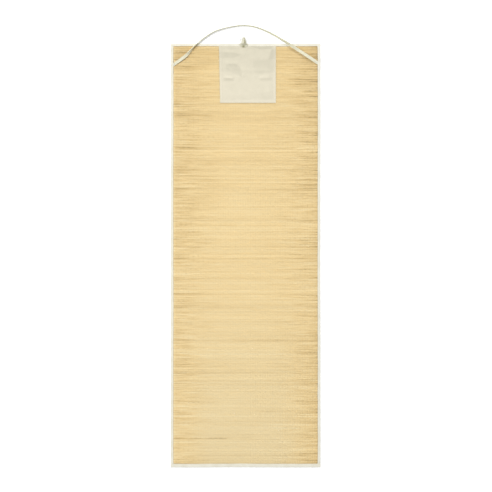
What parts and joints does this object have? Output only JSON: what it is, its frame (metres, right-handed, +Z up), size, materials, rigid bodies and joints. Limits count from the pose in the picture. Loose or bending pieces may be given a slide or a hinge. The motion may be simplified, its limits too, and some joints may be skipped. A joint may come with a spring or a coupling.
{
  "type": "straw beach mat with pillow pocket and carrying strap",
  "caption": "Long flat straw beach mat with folded cloth edge tapes, a square pillow pocket with a blow-up valve at its head and a carrying strap.",
  "frame": {"origin": "centre of the straw sheet's flat underside, on the surface the mat lies on", "axes": "+Z up off the surface, +Y along the mat towards the head end with the pocket and strap, +X across it to the right"},
  "size_m": [0.6009, 1.7748, 0.0168],
  "materials": {
    "straw": "dry woven straw with a faint sheen",
    "edge_tape": "cream nonwoven cloth, embossed and matte",
    "pocket_cloth": "cream nonwoven cloth, softly creased",
    "strap_cloth": "folded and stitched cream nonwoven cloth",
    "soft_vinyl": "milky soft vinyl with a dull shine"
  },
  "bodies": {
    "root": {"straw_mat": "straw", "tape_head": "edge_tape", "tape_foot": "edge_tape", "tape_left": "edge_tape", "tape_right": "edge_tape", "pillow_pocket": "pocket_cloth", "carry_strap": "strap_cloth", "valve_stem": "soft_vinyl", "valve_plug": "soft_vinyl"}
  },
  "joints": []
}
